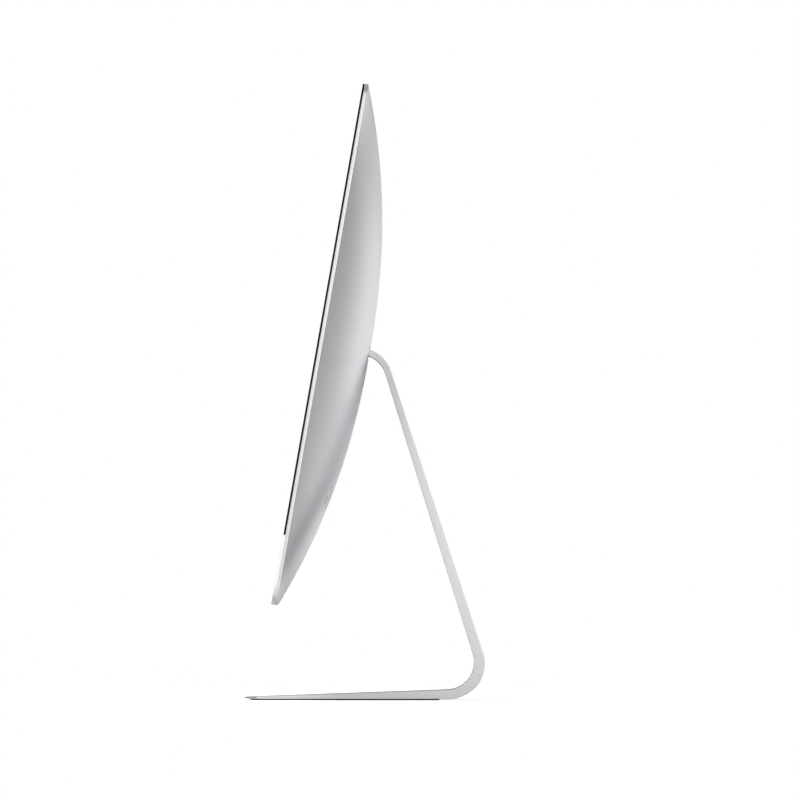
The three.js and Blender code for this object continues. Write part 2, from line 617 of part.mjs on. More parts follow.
const SUPPLY = { left: -286, right: -196, front: 6.6, back: 8.2, low: 112, high: 336 };

// The board of the power supply, with its coils, capacitors and heat spreader.
function makePowerSupply() {
  const base = SUPPLY.back - 0.2;
  const standing = (left, right, low, high, height) => box(left, right, base, base + height, low, high);
  const capacitor = (radius, height, x, h) => barThrough(radius, base, base + height, x, h, 16);
  const transformer = standing(-236, -200, 150, 190, 16);
  const heatSpreader = standing(-282, -270, 160, 300, 4.5);
  const choke = standing(-262, -244, 130, 152, 11);
  const rectifier = standing(-232, -204, 290, 330, 10);
  return join(
    block(SUPPLY), transformer, heatSpreader, choke, rectifier,
    capacitor(9, 16, -214, 214), capacitor(9, 16, -214, 238), capacitor(7, 11, -240, 262));
}

const SOCKET = { left: -37, right: 37, front: PARTS_BASE, back: 29.4, low: 119, high: 128 };
const SLOT = { count: 4, pitch: 4.7, first: 11, width: 3.6, halfLength: 34.6, low: 118, high: 124 };
const MODULE = { inset: 1.3, thickness: 1, halfLength: 33.8, low: 92, high: 123 };
const CHIP = { count: 4, pitch: 16, halfWidth: 5.5, thickness: 0.9, low: 97, high: 110 };

const slotFront = (row) => SLOT.first + SLOT.pitch * row;

function makeMemorySocket() {
  const slots = Array.from({ length: SLOT.count }, (_, row) =>
    box(-SLOT.halfLength, SLOT.halfLength, slotFront(row), slotFront(row) + SLOT.width, SLOT.low, SLOT.high));
  return cut(block(SOCKET), ...slots);
}

function makeMemoryModule(row) {
  const front = slotFront(row) + MODULE.inset;
  const back = front + MODULE.thickness;
  const card = box(-MODULE.halfLength, MODULE.halfLength, front, back, MODULE.low, MODULE.high);
  const chips = Array.from({ length: CHIP.count }, (_, i) => {
    const x = (i - (CHIP.count - 1) / 2) * CHIP.pitch;
    return box(x - CHIP.halfWidth, x + CHIP.halfWidth, back - 0.5, back + CHIP.thickness, CHIP.low, CHIP.high);
  });
  return join(card, ...chips);
}

place("logic_board", makeLogicBoard(), BOARD);
place("cpu_heatsink", makeHeatsink(), COPPER);
place("heat_pipe", makeHeatPipe(), COPPER);
place("fin_stack", makeFinStack(), ALUMINIUM);
place("hard_drive", makeHardDrive(), ALUMINIUM);
place("power_supply", makePowerSupply(), BOARD);
place("memory_socket", makeMemorySocket(), PLASTIC);
place("memory_module_1", makeMemoryModule(1), BOARD);
place("memory_module_2", makeMemoryModule(3), BOARD);
place("solid_state_drive", box(190, 214, PARTS_BASE, 13, 212, 282), BOARD);
place("wireless_card", box(98, 122, PARTS_BASE, 13, 150, 182), BOARD);
place("display_cable",
  join(box(206, 232, 6.5, 7.4, 236, 352), box(206, 232, 6.5, 10.4, 326, 328)), PLASTIC);

// ---------------------------------------------------------------- cooling

const FAN = { x: 6, h: 298, radius: 47, front: 8.4, back: 23, wall: 1.6, floor: 1.4, intake: 24 };
const IMPELLER = { front: 10.2, hubRadius: 16, hubBack: 21, discRadius: 42, discBack: 11.2 };
const BLADE = { count: 22, length: 16, height: 10.2, thickness: 1.1, lean: 0.6, radius: 33, middle: 16 };

function fanScroll(offset, tongue) {
  const radius = FAN.radius + offset;
  const shape = new THREE.Shape();
  shape.absarc(FAN.x, FAN.h, radius, Math.PI, 0, true);
  shape.lineTo(FAN.x + radius, tongue);
  shape.lineTo(FAN.x - radius, tongue);
  shape.closePath();
  return shape;
}

function makeFanHousing() {
  const outer = extrudeThrough(fanScroll(FAN.wall, 231), FAN.front, FAN.back, 8);
  const inner = extrudeThrough(fanScroll(0, 225), FAN.front + FAN.floor, FAN.back + 5, 8);
  return cut(outer, inner);
}

function makeFanCover() {
  const plate = extrudeThrough(fanScroll(FAN.wall, 252), FAN.back + GAP, FAN.back + 1.3, 8);
  return cut(plate, barThrough(FAN.intake, 0, 60, FAN.x, FAN.h, 28));
}

function makeImpeller() {
  const hub = barThrough(IMPELLER.hubRadius, IMPELLER.front, IMPELLER.hubBack, FAN.x, FAN.h, 24);
  const disc = barThrough(IMPELLER.discRadius, IMPELLER.front, IMPELLER.discBack, FAN.x, FAN.h, 36);
  const blades = [];
  for (let i = 0; i < BLADE.count; i++) {
    const blade = new THREE.BoxGeometry(BLADE.length, BLADE.height, BLADE.thickness);
    blade.rotateY(BLADE.lean).translate(BLADE.radius, BLADE.middle, 0);
    blade.rotateY((2 * Math.PI * i) / BLADE.count).translate(FAN.x, 0, FAN.h);
    blades.push(solid(blade));
  }
  return join(disc, hub, ...blades);
}

// Carries the air from the fins back and out of the vent under the hinge.
function makeExhaustDuct() {
  const outer = roundedOutline([[9, 194], [38.4, 194], [38.4, 203], [20, 204], [9, 204]]);
  const inner = roundedOutline([[10.2, 195.2], [45, 195.2], [45, 201.8], [19, 202.6], [10.2, 210]]);
  return cut(extrudeAcross(outer, -50, 50), extrudeAcross(inner, -48.8, 48.8));
}

const GRILLE = { clear: 0.4, count: 20, border: 4, rib: 2.2, slotHeight: 7.6 };

function makeVentGrille() {
  const { clear, count, border, rib, slotHeight } = GRILLE;
  const plate = box(-VENT.halfWidth + clear, VENT.halfWidth - clear, PIVOT_W + 3, 60, VENT.low + clear,
    VENT.high - clear).intersect(solidBlock);
  const slots = [];
  const pitch = (2 * VENT.halfWidth - 2 * border) / count;
  for (let i = 0; i < count; i++) {
    const x = -VENT.halfWidth + border + (i + 0.5) * pitch;
    slots.push(centredBox(x, 45, (VENT.low + VENT.high) / 2, pitch - rib, 30, slotHeight));
  }
  return cut(plate, ...slots, domeBlock(CAVITY_HALF_WIDTH, CAVITY_LOW, CAVITY_HIGH, 3, 2.4, 16, 14));
}

place("fan_housing", makeFanHousing(), PLASTIC);
place("fan_cover", makeFanCover(), PLASTIC);
place("fan_impeller", makeImpeller(), PLASTIC);
place("exhaust_duct", makeExhaustDuct(), PLASTIC);
place("vent_grille", makeVentGrille(), PLASTIC);

// ---------------------------------------------------------------- sound

// A sealed box that fills the chin, with a taller chamber behind the panel.
function makeSpeaker(sign) {
  const low = box(...span(sign, 160, 270), 2.4, 7.4, 26, 56.4);
  const chamber = box(...span(sign, 160, 262), 6.6, 11.2, 40, 70);
  const cone = barThrough(11, 7, 12.6, sign * 196, 44, 20);
  return join(low, chamber, cone);
}

place("left_speaker", makeSpeaker(-1), PLASTIC);
place("right_speaker", makeSpeaker(1), PLASTIC);

// ---------------------------------------------------------------- power inlet

const INLET_FACE = domeDepth(INLET.radius, INLET.h - INLET.radius) - 0.4;

function makeInlet() {
  const cup = barThrough(INLET.radius, INLET_FACE - INLET.depth - 3, INLET_FACE, 0, INLET.h, 32);
  const recess = barThrough(INLET.recess, INLET_FACE - INLET.depth, 60, 0, INLET.h, 32);
  return cut(cup, recess);
}

place("power_inlet", makeInlet(), PLASTIC);
[[-5, -3.2], [5, -3.2], [0, 5.2]].forEach(([x, dh], i) => {
  const base = INLET_FACE - INLET.depth + GAP;
  place(`power_pin_${i + 1}`, barThrough(1.4, base, INLET_FACE - 6, x, INLET.h + dh, 12), STEEL);
});

// ---------------------------------------------------------------- ports

// The face of a port sits just under the lowest point of the dome over its outline.
function portFace(x, width, height) {
  const corners = [-1, 1].flatMap((i) => [-1, 1].map((j) =>
    domeDepth(x + (i * width) / 2, PORT_ROW_H + (j * height) / 2)));
  return Math.min(...corners) - 0.3;
}

function makeSocket(x, { width, height, depth }, tongueWidth, tongueHeight) {
  const face = portFace(x, width, height);
  const shellWall = 0.5;
  const body = box(x - width / 2, x + width / 2, PARTS_BASE, face,
    PORT_ROW_H - height / 2, PORT_ROW_H + height / 2);
  const mouth = centredBox(x, face - depth / 2 + 1, PORT_ROW_H, width - 2 * shellWall, depth + 2,
    height - 2 * shellWall);
  const hollow = cut(body, mouth);
  if (!tongueWidth) return hollow;
  const tongue = centredBox(x, face - depth / 2 - 1, PORT_ROW_H, tongueWidth, depth - 1.6, tongueHeight);
  return join(hollow, tongue);
}

USB_X.forEach((x, i) => place(`usb_port_${i + 1}`, makeSocket(x, USB, 1.8, 10.6), STEEL));
DATA_X.forEach((x, i) => place(`data_port_${i + 1}`, makeSocket(x, DATA, 1.4, 5.2), STEEL));
place("network_jack", makeSocket(NETWORK_X, NETWORK, 0, 0), PLASTIC);
place("card_slot", makeSocket(CARD.x, CARD, 0, 0), PLASTIC);

function makeAudioJack() {
  const face = portFace(AUDIO.x, 2 * AUDIO.radius, 2 * AUDIO.radius);
  const barrel = barThrough(AUDIO.radius, PARTS_BASE, face, AUDIO.x, PORT_ROW_H, 16);
  return cut(barrel, barThrough(1.8, face - AUDIO.depth, 60, AUDIO.x, PORT_ROW_H, 12));
}

place("audio_jack", makeAudioJack(), PLASTIC);

// ---------------------------------------------------------------- pieces let into the dome

// A lid cut from the domed wall itself, so that its outside is flush with the back.
const lidOf = (tool) => tool.intersect(solidBlock).subtract(
  domeBlock(CAVITY_HALF_WIDTH, CAVITY_LOW, CAVITY_HIGH, LEDGE_BACK, SHELL, 16, 14));

place("antenna_window", lidOf(barThrough(WINDOW.radius, 20, 60, 0, WINDOW.h, 36)), GREY_PLASTIC);
place("memory_door", lidOf(throughWall(
  rectangle(-DOOR.halfWidth, DOOR.halfWidth, DOOR.low, DOOR.high, DOOR.corner), 3)), ALUMINIUM);

function makePowerButton() {
  const { x, h, radius } = POWER_BUTTON;
  const cap = barThrough(radius, 17, 60, x, h, 24).intersect(solidBlock);
  return join(cap, barThrough(radius + 1.4, 17, 18, x, h, 24));
}

place("power_button", makePowerButton(), ALUMINIUM);
place("power_switch",
  box(POWER_BUTTON.x - 6, POWER_BUTTON.x + 6, 9, 16.2, POWER_BUTTON.h - 6, POWER_BUTTON.h + 6), PLASTIC);

function makeReleaseButton() {
  const cap = barThrough(RELEASE.radius, 33, 60, 0, RELEASE.h, 16).intersect(solidBlock);
  return join(cap, barThrough(RELEASE.radius + 1.2, 33, 34.2, 0, RELEASE.h, 16));
}

place("door_release_button", makeReleaseButton(), GREY_PLASTIC);

export default computer;
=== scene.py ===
"""Looks of an all-in-one desktop computer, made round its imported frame.

The display's pieces are drawn in the display's own frame, in millimetres: x across, w the depth
behind the front of the glass, h the height above the housing's bottom edge. The stand is drawn in
the frame of the whole part, also in millimetres.
"""

import json
import math

import bmesh
import bpy
from mathutils import Matrix, Vector


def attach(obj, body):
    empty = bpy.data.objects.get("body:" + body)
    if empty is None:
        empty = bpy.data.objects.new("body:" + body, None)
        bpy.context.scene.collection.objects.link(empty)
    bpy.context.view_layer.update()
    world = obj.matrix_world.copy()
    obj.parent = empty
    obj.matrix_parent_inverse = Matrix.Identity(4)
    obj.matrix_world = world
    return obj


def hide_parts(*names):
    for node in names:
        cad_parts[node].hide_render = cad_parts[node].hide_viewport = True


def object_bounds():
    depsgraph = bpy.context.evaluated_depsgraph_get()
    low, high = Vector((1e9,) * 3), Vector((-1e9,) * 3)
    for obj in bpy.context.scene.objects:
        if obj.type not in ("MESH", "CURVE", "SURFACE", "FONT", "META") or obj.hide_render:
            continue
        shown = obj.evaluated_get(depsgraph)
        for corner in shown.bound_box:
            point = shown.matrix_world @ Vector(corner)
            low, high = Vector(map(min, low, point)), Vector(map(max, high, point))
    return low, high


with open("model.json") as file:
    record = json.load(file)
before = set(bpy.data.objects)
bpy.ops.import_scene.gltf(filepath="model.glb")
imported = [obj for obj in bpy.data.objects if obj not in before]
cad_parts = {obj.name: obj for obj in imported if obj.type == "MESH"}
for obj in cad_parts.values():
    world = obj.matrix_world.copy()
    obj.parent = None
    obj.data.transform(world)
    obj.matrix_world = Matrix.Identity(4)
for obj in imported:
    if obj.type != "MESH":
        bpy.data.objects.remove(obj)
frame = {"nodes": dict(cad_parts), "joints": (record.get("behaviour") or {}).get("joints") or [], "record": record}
CAD_LOW, CAD_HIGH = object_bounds()

MM = 0.001

# ---------------------------------------------------------------- dimensions, as the frame has them

WIDTH = 650
HEIGHT = 446.4
CORNER_RADIUS = 8
EDGE_THICKNESS = 4.8
DOME_DEPTH = 39.75
DOME_POWER_ACROSS = 3.5
DOME_POWER_UP = 2.23
SHELL = 1.8
GAP = 0.3
RIM_RADIUS = 0.5
RIM_DROP = 0.73 * RIM_RADIUS  # how far below the dome's edge the rounding starts
FRONT_EDGE = 0.25

GLASS_THICKNESS = 1.5
CHIN_HEIGHT = 59.4
LEDGE_FRONT = GLASS_THICKNESS + GAP
LEDGE_BACK = 3.4
CAVITY_HALF_WIDTH = 313
CAVITY_LOW = 9
CAVITY_HIGH = 437

TILT = math.radians(10)
PIVOT_W = 36.5
PIVOT_H = 225
PIVOT = Vector(next(j for j in frame["joints"] if j["name"] == "display_tilt")["pos_m"]) / MM

STAND_HALF_WIDTH = 100
STAND_FRONT = -101.8
STAND_REACH = {"back": 150, "low": -5, "high": 330}  # a box well round the stand
FOOT_CORNER_RADIUS = 15
FOOT_SLOPE = math.radians(2)
TIP = {"top": 2.7, "bottom": 1.6, "bevel": 4}
ARM_REAR = ((96.2, 54.2), math.radians(18.09 - 90))  # a point on the line, and its angle
ARM_FRONT = ((87.6, 54.2), math.radians(17.33 - 90))
BEND_RADIUS = {"outside": 30, "inside": 23.1}
NECK_BEND_RADIUS = {"outside": 29, "inside": 23.4}
PAD_THICKNESS = 1
PAD = {"border": 4, "front": STAND_FRONT + 5, "back": 64}
NECK_THICKNESS = 5.2
KNUCKLE_RADIUS = 5.4
KNUCKLE_HALF_WIDTH = 60
SHROUD_RADIUS = 7
SHROUD_THICKNESS = 1.8
SHROUD_FRONT = 1.8
SHOULDER = {"front": 10, "back": 5.9, "half_height": 12}  # beside the knuckle, measured from the hinge line
SHAFT_BORE = 3.3
ARM_HOLE_RADIUS = 26
ARM_HOLE_Z = 212

SCREEN = {"half_width": 298.5, "middle": 258, "half_height": 168}

PORT_ROW = 95
USB = {"width": 6, "height": 13.6, "depth": 13}
DATA = {"width": 5.4, "height": 8.4, "depth": 9}
NETWORK = {"width": 13.4, "height": 15.6, "depth": 16}
CARD = {"width": 4, "height": 27, "depth": 14}
USB_X = (184, 168, 152, 136)
DATA_X = (121, 108)
NETWORK_X = 88
CARD_X = 200
AUDIO = {"x": 214, "radius": 4.2, "bore": 1.8, "depth": 12}
PARTS_BASE = 9.9
HOLE_START = 12
INLET = {"h": 150, "radius": 15, "recess": 12.4, "depth": 14}
PINS = ((-5, -3.2), (5, -3.2), (0, 5.2))
PIN_RADIUS = 1.4
PIN_SHORT = 6
RELEASE = {"x": 0, "h": 174, "radius": 3.2, "flange": 1.2, "base": 33, "flange_top": 34.2}
DOOR = {"half_width": 62, "low": 74, "high": 129, "corner": 5}
POWER_BUTTON = {"x": -236, "h": 82, "radius": 7.5, "flange": 1.4, "base": 17, "flange_top": 18}
WINDOW = {"h": 336, "radius": 30}
VENT = {"half_width": 84, "low": 195.5, "high": 207}
SLOT = {"half_width": 101.5, "low": PIVOT_H - 6.3, "high": PIVOT_H + 4.8}
LOCK = {"x": -196, "h": 64, "width": 7, "height": 3}
SCREEN_OPENING = {"half_width": 306, "low": 68, "high": 430}
CAMERA_NOTCH = {"left": -37, "right": 16, "low": 425, "high": 436}
CHIN_HOLLOW = {"front": 1.9, "top": 57}
GROOVE = {"half_width": 318.5, "low": 61.5, "high": 441.5, "width": 4.5, "back": 2.7}
BOTTOM_SLOT = {"front": 2.2, "back": 3.7, "length": 16, "pitch": 20, "radius": 0.7}
BOTTOM_SLOT_GROUPS = ((-270, 5), (-88, 9), (174, 5))
DOOR_GAP = 0.4
OUTSIDE = 60


def display_to_part():
    """Matrix from the display's own frame in millimetres to the frame of the whole part in metres."""
    rows = (
        (1, 0, 0, PIVOT.x),
        (0, math.cos(TILT), math.sin(TILT), PIVOT.y),
        (0, -math.sin(TILT), math.cos(TILT), PIVOT.z),
        (0, 0, 0, 1),
    )
    return Matrix.Scale(MM, 4) @ Matrix(rows) @ Matrix.Translation((0, -PIVOT_W, -PIVOT_H))


DISPLAY = display_to_part()
PART = Matrix.Scale(MM, 4)


# ---------------------------------------------------------------- the dome


def dome_fall(x, h):
    across = abs(2 * x / WIDTH) ** DOME_POWER_ACROSS
    up = abs(2 * h / HEIGHT - 1) ** DOME_POWER_UP
    return math.sqrt(across**2 + up**2 - (across * up) ** 2)


def dome(x, h):
    """Depth of the domed back at a place on it."""
    return EDGE_THICKNESS + DOME_DEPTH * (1 - min(1, dome_fall(x, h)))


def dome_normal(x, h):
    step = 0.5
    slope_x = (dome(x + step, h) - dome(x - step, h)) / (2 * step)
    slope_h = (dome(x, h + step) - dome(x, h - step)) / (2 * step)
    return Vector((-slope_x, 1, -slope_h)).normalized()


# ---------------------------------------------------------------- outlines


def arc_corner(before, corner, after, radius, segments):
    """Points of the arc that rounds a corner between two straight stretches."""
    corner = Vector(corner)
    to_before = (Vector(before) - corner).normalized()
    to_after = (Vector(after) - corner).normalized()
    half = to_before.angle(to_after) / 2
    centre = corner + (to_before + to_after).normalized() * radius / math.sin(half)
    start = corner + to_before * radius / math.tan(half) - centre
    end = corner + to_after * radius / math.tan(half) - centre
    first = math.atan2(start.y, start.x)
    turn = (math.atan2(end.y, end.x) - first + math.pi) % (2 * math.pi) - math.pi
    angles = (first + turn * i / segments for i in range(segments + 1))
    return [(centre.x + radius * math.cos(a), centre.y + radius * math.sin(a)) for a in angles]


def rounded(corners, segments=8):
    """Outline through corners given as (a, b) or (a, b, radius)."""
    points = []
    for i, corner in enumerate(corners):
        if len(corner) == 2:
            points.append(corner)
            continue
        before = corners[i - 1][:2]
        after = corners[(i + 1) % len(corners)][:2]
        points.extend(arc_corner(before, corner[:2], after, corner[2], segments))
    return points


def rectangle(x0, x1, h0, h1, radius=0.0, segments=6):
    corners = [(x0, h0), (x1, h0), (x1, h1), (x0, h1)]
    if not radius:
        return corners
    return rounded([corner + (radius,) for corner in corners], segments)


def centred(x, h, width, height, radius=0.0):
    return rectangle(x - width / 2, x + width / 2, h - height / 2, h + height / 2, radius, 4)


def circle(x, h, radius, count=48):
    turns = (2 * math.pi * i / count for i in range(count))
    return [(x + radius * math.cos(a), h + radius * math.sin(a)) for a in turns]


def divided(outline, step):
    """The same outline with no stretch longer than a step."""
    points = []
    for a, b in zip(outline, outline[1:] + outline[:1]):
        count = max(1, math.ceil(math.dist(a, b) / step))
        for i in range(count):
            part = i / count
            points.append((a[0] + (b[0] - a[0]) * part, a[1] + (b[1] - a[1]) * part))
    return points


def inset(outline, distance):
    """The outline moved inwards. It goes anticlockwise and its corners are gentle."""
    moved = []
    for before, here, after in zip(outline[-1:] + outline[:-1], outline, outline[1:] + outline[:1]):
        along = (Vector(after) - Vector(before)).normalized()
        moved.append((here[0] - along.y * distance, here[1] + along.x * distance))
    return moved


# ---------------------------------------------------------------- meshes

BEVEL_ANGLE = math.radians(35)
SHARP_ANGLE = math.radians(32)


def along_w(x, h, w):
    """Places an outline of x and h in the display's own frame."""
    return (x, w, h)


def along_x(y, z, x):
    return (x, y, z)


def along_z(x, y, z):
    return (x, y, z)


class Solid:
    """Points and faces gathered in millimetres. Several closed shapes may share one solid."""

    def __init__(self):
        self.points = []
        self.faces = []

    def stack(self, rings, cap_first=True, cap_last=True):
        """Joins rings of equally many points. A ring of one point closes the stack in a tip."""
        starts = []
        for ring in rings:
            starts.append(len(self.points))
            self.points.extend(ring)
        for k in range(len(rings) - 1):
            self._band(starts[k], len(rings[k]), starts[k + 1], len(rings[k + 1]))
        if cap_first and len(rings[0]) > 1:
            self.faces.append(tuple(reversed(range(starts[0], starts[0] + len(rings[0])))))
        if cap_last and len(rings[-1]) > 1:
            self.faces.append(tuple(range(starts[-1], starts[-1] + len(rings[-1]))))
        return self

    def _band(self, first, count, second, second_count):
        for i in range(max(count, second_count)):
            j = (i + 1) % max(count, second_count)
            if count == 1:
                self.faces.append((first, second + j, second + i))
            elif second_count == 1:
                self.faces.append((first + i, first + j, second))
            else:
                self.faces.append((first + i, first + j, second + j, second + i))

    def prism(self, outline, low, high, place=along_w):
        return self.stack([[place(a, b, depth) for a, b in outline] for depth in (low, high)])

    def box(self, x0, x1, w0, w1, h0, h1):
        return self.prism(rectangle(x0, x1, h0, h1), w0, w1)

    def mesh(self, name):
        data = bpy.data.meshes.new(name)
        data.from_pydata(self.points, [], self.faces)
        data.validate()
        outwards(data)
        return data


def outwards(data):
    """Turns every face of closed shapes outwards."""
    shape = bmesh.new()
    shape.from_mesh(data)
    bmesh.ops.remove_doubles(shape, verts=shape.verts, dist=1e-5)
    bmesh.ops.recalc_face_normals(shape, faces=shape.faces)
    shape.to_mesh(data)
    shape.free()


def new_object(name, data):
    piece = bpy.data.objects.new(name, data)
    bpy.context.scene.collection.objects.link(piece)
    return piece


def apply_modifiers(piece):
    """Replaces a piece's mesh with what its modifiers make of it."""
    shape = piece.evaluated_get(bpy.context.evaluated_depsgraph_get())
    data = bpy.data.meshes.new_from_object(shape)
    piece.modifiers.clear()
    piece.data = data


def boolean(piece, tool, operation="DIFFERENCE"):
    """Cuts or joins a piece with another solid."""
    cutter = new_object("tool", tool.mesh("tool"))
    modifier = piece.modifiers.new("boolean", "BOOLEAN")
    modifier.operation = operation
    modifier.object = cutter
    modifier.solver = "EXACT"
    modifier.use_self = operation == "UNION"
    apply_modifiers(piece)
    bpy.data.objects.remove(cutter)


def bevel(piece, width):
    modifier = piece.modifiers.new("bevel", "BEVEL")
    modifier.width = width
    modifier.segments = 2
    modifier.limit_method = "ANGLE"
    modifier.angle_limit = BEVEL_ANGLE
    apply_modifiers(piece)


def smooth(piece):
    data = piece.data
    data.polygons.foreach_set("use_smooth", [True] * len(data.polygons))
    data.set_sharp_from_angle(angle=SHARP_ANGLE)


def smooth_flat_sided(piece):
    """Smooth shading in which the large flat faces stay flat and only the bevels between them turn."""
    smooth(piece)
    modifier = piece.modifiers.new("weighted", "WEIGHTED_NORMAL")
    modifier.keep_sharp = True
    apply_modifiers(piece)


def smooth_dome(piece):
    """Gives every corner that lies on the domed back the dome's exact normal."""
    smooth(piece)
    on_dome, faces_same_way = 0.03, 0.96
    data = piece.data
    normals = [Vector(corner.vector) for corner in data.corner_normals]
    for face in data.polygons:
        for loop in face.loop_indices:
            x, w, h = data.vertices[data.loops[loop].vertex_index].co
            exact = dome_normal(x, h)
            if abs(w - dome(x, h)) < on_dome and face.normal.dot(exact) > faces_same_way:
                normals[loop] = exact
    data.normals_split_custom_set(normals)


def finish_piece(piece, matrix, body, slot, node):
    """Moves a drawn piece to its place, gives it its slot's material and lets it stand for its node."""
    piece.data.transform(matrix)
    piece.data.materials.clear()
    piece.data.materials.append(MATERIALS[slot])
    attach(piece, body)
    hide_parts(node)


# ---------------------------------------------------------------- materials


def new_material(name, color, metallic, roughness, **inputs):
    material = bpy.data.materials.new(name)
    material.use_nodes = True
    shader = material.node_tree.nodes["Principled BSDF"]
    shader.inputs["Base Color"].default_value = (*color, 1)
    shader.inputs["Metallic"].default_value = metallic
    shader.inputs["Roughness"].default_value = roughness
    for key, value in inputs.items():
        shader.inputs[key.replace("_", " ")].default_value = value
    return material


def add_node(material, kind, **settings):
    node = material.node_tree.nodes.new(kind)
    for key, value in settings.items():
        if key in node.inputs:
            node.inputs[key].default_value = value
        else:
            setattr(node, key, value)
    return node


def noise(material, scale, detail):
    """Noise in the piece's own coordinates; scale counts bumps per metre."""
    place = add_node(material, "ShaderNodeTexCoord")
    texture = add_node(material, "ShaderNodeTexNoise", Scale=scale, Detail=detail)
    material.node_tree.links.new(place.outputs["Object"], texture.inputs["Vector"])
    return texture.outputs["Fac"]


def spread(material, value, low, high):
    """Maps a texture's middle half onto a range."""
    ramp = add_node(material, "ShaderNodeMapRange")
    for key, number in (("From Min", 0.25), ("From Max", 0.75), ("To Min", low), ("To Max", high)):
        ramp.inputs[key].default_value = number
    material.node_tree.links.new(value, ramp.inputs["Value"])
    return ramp.outputs["Result"]


def vary_roughness(material, value, low, high):
    shader = material.node_tree.nodes["Principled BSDF"]
    material.node_tree.links.new(spread(material, value, low, high), shader.inputs["Roughness"])


def vary_color(material, value, first, second):
    mix = add_node(material, "ShaderNodeMix", data_type="RGBA")
    mix.inputs["A"].default_value = (*first, 1)
    mix.inputs["B"].default_value = (*second, 1)
    shader = material.node_tree.nodes["Principled BSDF"]
    links = material.node_tree.links
    links.new(spread(material, value, 0, 1), mix.inputs["Factor"])
    links.new(mix.outputs["Result"], shader.inputs["Base Color"])


def add_bump(material, value, height, strength):
    bump = add_node(material, "ShaderNodeBump", Strength=strength, Distance=height)
    shader = material.node_tree.nodes["Principled BSDF"]
    material.node_tree.links.new(value, bump.inputs["Height"])
    material.node_tree.links.new(bump.outputs["Normal"], shader.inputs["Normal"])


def make_aluminium():
    """Bead-blasted and anodised: an even satin with a very fine grain."""
    material = new_material("anodised_aluminium", (0.80, 0.81, 0.825), 1.0, 0.36)
    vary_color(material, noise(material, 9, 2), (0.795, 0.805, 0.82), (0.815, 0.825, 0.84))
    vary_roughness(material, noise(material, 900, 4), 0.33, 0.40)
    add_bump(material, noise(material, 2600, 2), 0.00002, 0.1)
    return material


def make_glass():
    """Polished glass over a printed black border, with the dark display behind its middle."""
    material = new_material("black_glass", (0.004, 0.004, 0.0045), 0.0, 0.03, IOR=1.52)
    place = add_node(material, "ShaderNodeTexCoord")
    split = add_node(material, "ShaderNodeSeparateXYZ")
    links = material.node_tree.links
    links.new(place.outputs["Object"], split.inputs["Vector"])
    half_width = SCREEN["half_width"] * MM
    middle = (DISPLAY @ Vector((0, 0, SCREEN["middle"]))).z
    half_height = SCREEN["half_height"] * math.cos(TILT) * MM
    masks = []
    for axis, centre, half in (("X", 0, half_width), ("Z", middle, half_height)):
        off = add_node(material, "ShaderNodeMath", operation="SUBTRACT")
        off.inputs[1].default_value = centre
        size = add_node(material, "ShaderNodeMath", operation="ABSOLUTE")
        inside = add_node(material, "ShaderNodeMath", operation="LESS_THAN")
        inside.inputs[1].default_value = half
        links.new(split.outputs[axis], off.inputs[0])
        links.new(off.outputs[0], size.inputs[0])
        links.new(size.outputs[0], inside.inputs[0])
        masks.append(inside.outputs[0])
    both = add_node(material, "ShaderNodeMath", operation="MULTIPLY")
    links.new(masks[0], both.inputs[0])
    links.new(masks[1], both.inputs[1])
    vary_color(material, both.outputs[0], (0.0035, 0.0035, 0.004), (0.0095, 0.0098, 0.011))
    return material


def make_plain(name, color, metallic, roughness, grain, height, second=None):
    """A material with a grain of its own: its roughness and its surface follow one noise.

    Roughness is a range, grain counts per metre, and height is the grain's, in metres.
    """
    low, high = roughness
    material = new_material(name, color, metallic, (low + high) / 2)
    fine = noise(material, grain, 3)
    vary_roughness(material, fine, low, high)
    lighter = [1.12 * part for part in color]
    vary_color(material, noise(material, grain / 30, 2), color, second or lighter)
    add_bump(material, fine, height, 0.5)
    return material


def make_board():
    """Green-black solder mask with traces."""
    material = new_material("circuit_board", (0.012, 0.04, 0.028), 0.0, 0.4)
    place = add_node(material, "ShaderNodeTexCoord")
    cells = add_node(material, "ShaderNodeTexBrick", Scale=60.0)
    cells.inputs["Color1"].default_value = (0.010, 0.036, 0.026, 1)
    cells.inputs["Color2"].default_value = (0.013, 0.045, 0.031, 1)
    cells.inputs["Mortar"].default_value = (0.03, 0.085, 0.05, 1)
    cells.inputs["Mortar Size"].default_value = 0.03
    links = material.node_tree.links
    shader = material.node_tree.nodes["Principled BSDF"]
    links.new(place.outputs["Object"], cells.inputs["Vector"])
    links.new(cells.outputs["Color"], shader.inputs["Base Color"])
    fine = noise(material, 700, 2)
    vary_roughness(material, fine, 0.35, 0.5)
    add_bump(material, fine, 0.00004, 0.4)
    return material


PLAIN_MATERIALS = {
    "lcd": ((0.018, 0.019, 0.022), 0.0, (0.18, 0.24), 1500, 0.00001),
    "steel": ((0.50, 0.51, 0.52), 1.0, (0.22, 0.36), 1400, 0.00001),
    "drive_casting": ((0.32, 0.33, 0.34), 1.0, (0.4, 0.55), 900, 0.00004),
    "copper": ((0.72, 0.36, 0.20), 1.0, (0.22, 0.38), 500, 0.00001, (0.60, 0.29, 0.17)),
    "black_plastic": ((0.018, 0.018, 0.019), 0.0, (0.42, 0.56), 1600, 0.00003),
    "grey_plastic": ((0.085, 0.087, 0.09), 0.0, (0.38, 0.5), 1800, 0.00002),
    "rubber": ((0.2, 0.2, 0.205), 0.0, (0.75, 0.9), 1100, 0.00005),
}

MATERIALS = {slot: make_plain(slot, *looks) for slot, looks in PLAIN_MATERIALS.items()}
MATERIALS["anodised_aluminium"] = make_aluminium()
MATERIALS["black_glass"] = make_glass()
MATERIALS["circuit_board"] = make_board()


